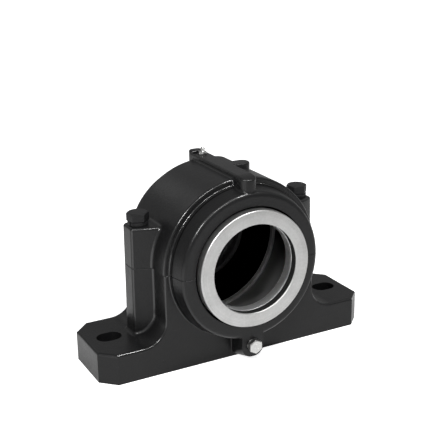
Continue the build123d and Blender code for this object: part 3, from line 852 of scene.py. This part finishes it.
class PLUMMER_OT_locating_rings(bpy.types.Operator):
    """Turn the two locating rings that fill the seat beside the bearing"""
    bl_idname = "plummer.locating_rings"
    bl_label = "Locating Rings"

    def execute(self, context):
        material = machined_iron(context.scene.plummer_casting)
        angles = around(RING_POINTS)
        for end in ENDS:
            low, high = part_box(f"locating_ring_{end}")
            corners = outline(angles, (LOCATING_INNER_R, low.y), (SEAT_R, low.y), (SEAT_R, high.y),
                              (LOCATING_INNER_R, high.y))
            rows = eased(corners, LOCATING_EDGE, closed=True)
            grid = turned(angles, rows, (0, 0, CENTRE_HEIGHT), "rear")
            piece = skin(f"turned_locating_ring_{end}", grid, closed=True)
            fit(piece, f"locating_ring_{end}", "housing", material)
        return {"FINISHED"}


class PLUMMER_OT_cap_bolts(bpy.types.Operator):
    """Make the hexagon cap bolts with their rolled threads"""
    bl_idname = "plummer.cap_bolts"
    bl_label = "Cap Bolts"

    def execute(self, context):
        look = context.scene.plummer_fasteners
        material = finish(painted_steel, context.scene.plummer_casting)
        face_r = BOLT_FACE_R
        collar, thread_top = WASHER_TOP + BOLT_COLLAR, BOLT_END + BOLT_THREAD
        for side in SIDES:
            turn = BOLT_TURN[side]
            angles = around(BOLT_POINTS, turn)
            hexagon_r = hexagon(angles, BOLT_FLATS, turn)
            cone = BOLT_TOP - (hexagon_r - face_r) * HEXAGON_SLOPE
            head = eased(outline(
                angles,
                (POLE_R, BOLT_TOP), (face_r, BOLT_TOP), (hexagon_r, cone), (hexagon_r, collar),
                (face_r, collar), (face_r, WASHER_TOP), (BOLT_R, WASHER_TOP),
                (BOLT_R, thread_top + BOLT_THREAD_LEAD)), 0.5 * look.edge)
            thread = threaded(angles, BOLT_R, look.bolt_pitch, thread_top, BOLT_END + BOLT_POINT)
            tip = outline(angles, (BOLT_TIP_R, BOLT_END), (POLE_R, BOLT_END))
            rows = np.concatenate([head, thread, tip])
            foot = (middle(f"cap_bolt_{side}").x, middle(f"cap_bolt_{side}").y, 0)
            piece = skin(f"hexagon_bolt_{side}", turned(angles, rows, foot, "up"))
            fit(piece, f"cap_bolt_{side}", "housing", material)
        return {"FINISHED"}


class PLUMMER_OT_spring_washers(bpy.types.Operator):
    """Coil the split spring washers under the cap bolts"""
    bl_idname = "plummer.spring_washers"
    bl_label = "Spring Washers"

    def execute(self, context):
        """A rounded section carried once round the bolt, rising by the spring along its helix."""
        material = finish(painted_steel, context.scene.plummer_casting)
        gap = WASHER_GAP / WASHER_R / 2
        start = math.radians(WASHER_TURN)
        angles = start + np.linspace(gap, FULL_TURN - gap, WASHER_POINTS)
        share = np.linspace(0, 1, len(angles))
        half = (WASHER_TOP - EAR_TOP - WASHER_SPRING) / 2
        corners = outline(np.zeros(1), (WASHER_BORE_R, -half), (WASHER_R, -half), (WASHER_R, half),
                          (WASHER_BORE_R, half))
        section = eased(corners, WASHER_EDGE, closed=True)[:, 0]
        across = np.stack([np.cos(angles), np.sin(angles), 0 * angles], -1)
        up = np.broadcast_to((0.0, 0.0, 1.0), across.shape)
        for side in SIDES:
            foot = middle(f"cap_bolt_{side}")
            rise = EAR_TOP + half + WASHER_SPRING * share
            centres = np.stack([np.full_like(rise, foot.x), np.full_like(rise, foot.y), rise], -1)
            piece = skin(f"split_washer_{side}", carried(centres, across, up, section))
            fit(piece, f"spring_washer_{side}", "housing", material)
        return {"FINISHED"}


class PLUMMER_OT_dowel_pins(bpy.types.Operator):
    """Grind the dowel pins that place the cap on the base"""
    bl_idname = "plummer.dowel_pins"
    bl_label = "Dowel Pins"

    def execute(self, context):
        material = finish(ground_steel, context.scene.plummer_fasteners)
        angles = around(PIN_POINTS)
        for side in SIDES:
            low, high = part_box(f"dowel_pin_{side}")
            radius, ease = (high.x - low.x) / 2, PIN_CHAMFER
            corners = outline(angles, (PIN_POLE_R, low.z), (radius - ease, low.z), (radius, low.z + ease),
                              (radius, high.z - ease), (radius - ease, high.z), (PIN_POLE_R, high.z))
            foot = ((low.x + high.x) / 2, (low.y + high.y) / 2, 0)
            piece = skin(f"ground_pin_{side}", turned(angles, eased(corners, PIN_EDGE), foot, "up"))
            fit(piece, f"dowel_pin_{side}", "housing", material)
        return {"FINISHED"}


class PLUMMER_OT_drain_plug(bpy.types.Operator):
    """Make the hexagon drain plug and its sealing washer"""
    bl_idname = "plummer.drain_plug"
    bl_label = "Drain Plug"

    def execute(self, context):
        look = context.scene.plummer_fasteners
        low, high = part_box("drain_plug")
        washer_low, washer_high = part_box("drain_washer")
        height = (washer_low.z + washer_high.z) / 2
        top, seat, end = -low.y, -washer_low.y, -high.y
        angles = around(BOLT_POINTS, PLUG_TURN)
        hexagon_r = hexagon(angles, PLUG_FLATS, PLUG_TURN)
        face_r, collar = PLUG_FACE_R, seat + PLUG_COLLAR
        cone = top - (hexagon_r - face_r) * HEXAGON_SLOPE
        head = eased(outline(
            angles,
            (POLE_R, top), (face_r, top), (hexagon_r, cone), (hexagon_r, collar), (face_r, collar),
            (face_r, seat), (PLUG_NECK_R, seat), (PLUG_NECK_R, seat - PLUG_NECK)), 0.4 * look.edge)
        thread = threaded(angles, PLUG_R, look.plug_pitch, seat - PLUG_THREAD_START, end + PLUG_POINT)
        tip = outline(angles, (PLUG_TIP_R, end), (POLE_R, end))
        grid = turned(angles, np.concatenate([head, thread, tip]), (0, 0, height), "front")
        plug = skin("hexagon_plug", grid)
        fit(plug, "drain_plug", "housing", finish(plated_steel, look))
        washer_r = (washer_high.x - washer_low.x) / 2
        bore_r = PLUG_R + PLUG_BORE_GAP
        corners = outline(angles, (bore_r, -NOSE_FACE), (washer_r, -NOSE_FACE), (washer_r, seat),
                          (bore_r, seat))
        grid = turned(angles, eased(corners, PLUG_WASHER_EDGE, closed=True), (0, 0, height), "front")
        washer = skin("sealing_washer", grid, closed=True)
        fit(washer, "drain_washer", "housing", finish(soft_aluminium, look))
        return {"FINISHED"}


class PLUMMER_OT_grease_nipple(bpy.types.Operator):
    """Make the grease nipple with its check ball and coil spring"""
    bl_idname = "plummer.grease_nipple"
    bl_label = "Grease Nipple"

    def execute(self, context):
        look = context.scene.plummer_fasteners
        self.body(look)
        self.ball(look)
        self.spring(look)
        return {"FINISHED"}

    def body(self, look):
        """Outside and bore as one closed outline turned about the nipple's axis."""
        low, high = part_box("grease_nipple")
        base, top = low.z + NIPPLE_FOOT, high.z
        angles = around(NIPPLE_POINTS, NIPPLE_TURN)
        hexagon_r = hexagon(angles, NIPPLE_FLATS, NIPPLE_TURN)
        face_r = NIPPLE_FACE_R
        neck = base + NIPPLE_HEX
        cone = neck - (hexagon_r - face_r) * HEXAGON_SLOPE
        foot = base - NIPPLE_FOOT
        upper = eased(outline(
            angles,
            (NIPPLE_BORE_R, base + NIPPLE_STEP), (NIPPLE_BORE_R, base + NIPPLE_SEAT),
            (NIPPLE_MOUTH_R, base + NIPPLE_SEAT + NIPPLE_SEAT_CONE), (NIPPLE_MOUTH_R, top),
            (NIPPLE_TOP_R, top), (NIPPLE_HEAD_R, neck + NIPPLE_HEAD[1]),
            (NIPPLE_HEAD_R, neck + NIPPLE_HEAD[0]), (NIPPLE_NECK_R, neck + NIPPLE_NECK[1]),
            (NIPPLE_NECK_R, neck + NIPPLE_NECK[0]),
            (NIPPLE_ROOT_R, neck), (face_r, neck), (hexagon_r, cone), (hexagon_r, base),
            (NIPPLE_SHANK_R, base), (NIPPLE_SHANK_R, base - NIPPLE_SHANK)), NIPPLE_EDGE)
        thread = threaded(angles, NIPPLE_THREAD_R, look.nipple_pitch, base - NIPPLE_THREAD_START,
                          foot + NIPPLE_POINT)
        lower = outline(angles, (NIPPLE_R - NIPPLE_POINT, foot), (NIPPLE_MOUTH_R, foot),
                        (NIPPLE_MOUTH_R, base + NIPPLE_STEP))
        rows = np.concatenate([upper, thread, lower])
        spot = middle("grease_nipple")
        grid = turned(angles, rows, (spot.x, spot.y, 0), "up")
        piece = skin("lubrication_nipple", grid, closed=True)
        fit(piece, "grease_nipple", "housing", finish(plated_steel, look))

    def ball(self, look):
        """Sphere: radius r sin t and height - r cos t for t from pole to pole."""
        low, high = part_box("nipple_ball")
        radius = (high.z - low.z) / 2
        angles = around(PIN_POINTS)
        tilt = np.linspace(BALL_POLE, math.pi - BALL_POLE, 40)[:, None]
        rows = np.stack(np.broadcast_arrays(radius * np.sin(tilt), -radius * np.cos(tilt)), -1)
        rows = np.broadcast_to(rows, (len(tilt), len(angles), 2))
        piece = skin("check_valve_ball", turned(angles, rows, middle("nipple_ball"), "up"))
        fit(piece, "nipple_ball", "check_ball", finish(ground_steel, look))

    def spring(self, look):
        """A round wire carried along a helix, its section square to the path."""
        low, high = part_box("nipple_spring")
        centre = middle("nipple_spring")
        coil_r = (high.x - low.x) / 2 - SPRING_WIRE_R
        bottom, top = low.z + SPRING_WIRE_R, high.z - SPRING_WIRE_R
        turns = np.linspace(0, SPRING_TURNS * FULL_TURN, 240)
        climb = (top - bottom) / (SPRING_TURNS * FULL_TURN)
        across = np.stack([np.cos(turns), np.sin(turns), 0 * turns], -1)
        ahead = unit(np.stack([-coil_r * np.sin(turns), coil_r * np.cos(turns), 0 * turns + climb], -1))
        up = np.cross(across, ahead)
        path = np.array((centre.x, centre.y, bottom)) + coil_r * across
        path[:, 2] += climb * turns
        round_wire = around(WIRE_POINTS)
        section = SPRING_WIRE_R * np.stack([np.cos(round_wire), np.sin(round_wire)], -1)
        piece = skin("coil_spring", carried(path, across, up, section))
        fit(piece, "nipple_spring", "housing", finish(ground_steel, look))


class PLUMMER_OT_stage(bpy.types.Operator):
    """Set up the pale floor, the studio lamps, the white surround and the camera"""
    bl_idname = "plummer.stage"
    bl_label = "Stage"

    def execute(self, context):
        look = context.scene.plummer_stage
        self.floor(look)
        self.surround(look)
        low, high = CAD_BOX
        aim = (low + high) / 2
        for name, (setting, place, size) in LAMPS.items():
            self.lamp(name, Vector(place), size, getattr(look, setting), aim)
        self.camera(context)
        context.scene.view_settings.view_transform = "Standard"
        return {"FINISHED"}

    def floor(self, look):
        """Wide level floor that looks white, and keeps the object's shadow."""
        half, drop = FLOOR_HALF, FLOOR_DROP
        corners = [(-half, -half, -drop), (half, -half, -drop), (half, half, -drop), (-half, half, -drop)]
        mesh = bpy.data.meshes.new("floor")
        mesh.from_pydata(corners, [], [(0, 1, 2, 3)])
        plane = bpy.data.objects.new("floor", mesh)
        bpy.context.scene.collection.objects.link(plane)
        shader = new_shader("white_floor")
        matt = shader.node("ShaderNodeBsdfDiffuse", inputs={"Color": (0.9, 0.9, 0.9, 1)})
        glow = shader.node("ShaderNodeEmission", inputs={"Color": WHITE, "Strength": look.floor_glow})
        added = shader.node("ShaderNodeAddShader", inputs={0: matt, 1: glow})
        seen = self.seen(shader, look.floor_mirror / look.floor_glow)
        mixed = shader.node("ShaderNodeMixShader", inputs={0: seen, 1: matt, 2: added})
        shader.node("ShaderNodeOutputMaterial", inputs={"Surface": mixed})
        mesh.materials.append(shader.owner)

    def seen(self, shader, mirror):
        """1 for the camera and through glass, the mirror share in reflections, 0 for light on things."""
        path = shader.node("ShaderNodeLightPath").socket.node.outputs
        camera, glossy, glass = [
            Value(shader, path[f"Is {kind} Ray"]) for kind in ("Camera", "Glossy", "Transmission")]
        return shader.node("ShaderNodeClamp", inputs={0: camera + glossy * mirror + glass})

    def surround(self, look):
        """White surround for the camera and for reflections, and a low even light."""
        world = bpy.data.worlds.new("surround")
        bpy.context.scene.world = world
        shader = Shader(world)
        seen = self.seen(shader, (look.sky_mirror - look.sky) / (1 - look.sky))
        strength = look.sky + seen * (1 - look.sky)
        background = shader.node("ShaderNodeBackground", inputs={"Color": WHITE, "Strength": strength})
        shader.node("ShaderNodeOutputWorld", inputs={"Surface": background})

    def lamp(self, name, place, size, power, aim):
        """A rectangular lamp that faces the object."""
        light = bpy.data.lights.new(name, "AREA")
        light.shape = "RECTANGLE"
        light.size, light.size_y = size
        light.energy = power
        lamp = bpy.data.objects.new(name, light)
        lamp.location = place
        lamp.rotation_euler = (aim - place).to_track_quat("-Z", "Y").to_euler()
        bpy.context.scene.collection.objects.link(lamp)

    def camera(self, context):
        """Camera low on the left in front of the block, with a long lens."""
        lens = bpy.data.cameras.new("camera")
        lens.sensor_width = SENSOR_MM
        lens.lens = LENS_MM
        lens.shift_x, lens.shift_y = LENS_SHIFT
        eye = bpy.data.objects.new("camera", lens)
        eye.location = EYE_PLACE
        eye.rotation_euler = Euler([math.radians(angle) for angle in EYE_TURN])
        context.scene.collection.objects.link(eye)
        context.scene.camera = eye


class PLUMMER_PT_panel(bpy.types.Panel):
    """Sizes, colours and steps of the plummer block"""
    bl_idname = "PLUMMER_PT_panel"
    bl_label = "Plummer Block"
    bl_space_type = "VIEW_3D"
    bl_region_type = "UI"
    bl_category = "Plummer Block"

    def draw(self, context):
        for group, operators in GROUPS.items():
            settings = getattr(context.scene, group)
            box = self.layout.box()
            for name in settings.__annotations__:
                box.prop(settings, name)
            for operator in operators:
                box.operator(operator.bl_idname)


SETTINGS = {
    "plummer_casting": CastingSettings,
    "plummer_rings": RingSettings,
    "plummer_fasteners": FastenerSettings,
    "plummer_stage": StageSettings,
}
GROUPS = {
    "plummer_casting": (PLUMMER_OT_castings,),
    "plummer_rings": (PLUMMER_OT_labyrinth_ring, PLUMMER_OT_rubber_cord, PLUMMER_OT_locating_rings,
                      PLUMMER_OT_end_cover),
    "plummer_fasteners": (PLUMMER_OT_cap_bolts, PLUMMER_OT_spring_washers, PLUMMER_OT_dowel_pins,
                          PLUMMER_OT_drain_plug, PLUMMER_OT_grease_nipple),
    "plummer_stage": (PLUMMER_OT_stage,),
}
OPERATORS = [operator for group in GROUPS.values() for operator in group]
CLASSES = [*SETTINGS.values(), *OPERATORS, PLUMMER_PT_panel]


def register():
    """Registers the classes and hangs the settings on the scene."""
    for cls in CLASSES:
        bpy.utils.register_class(cls)
    for name, group in SETTINGS.items():
        setattr(bpy.types.Scene, name, bpy.props.PointerProperty(type=group))


def unregister():
    """Takes the settings and the classes away again."""
    for name in SETTINGS:
        delattr(bpy.types.Scene, name)
    for cls in reversed(CLASSES):
        bpy.utils.unregister_class(cls)


def main():
    """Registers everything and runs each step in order."""
    register()
    for operator in OPERATORS:
        group, name = operator.bl_idname.split(".")
        getattr(getattr(bpy.ops, group), name)()


if __name__ == "__main__":
    main()
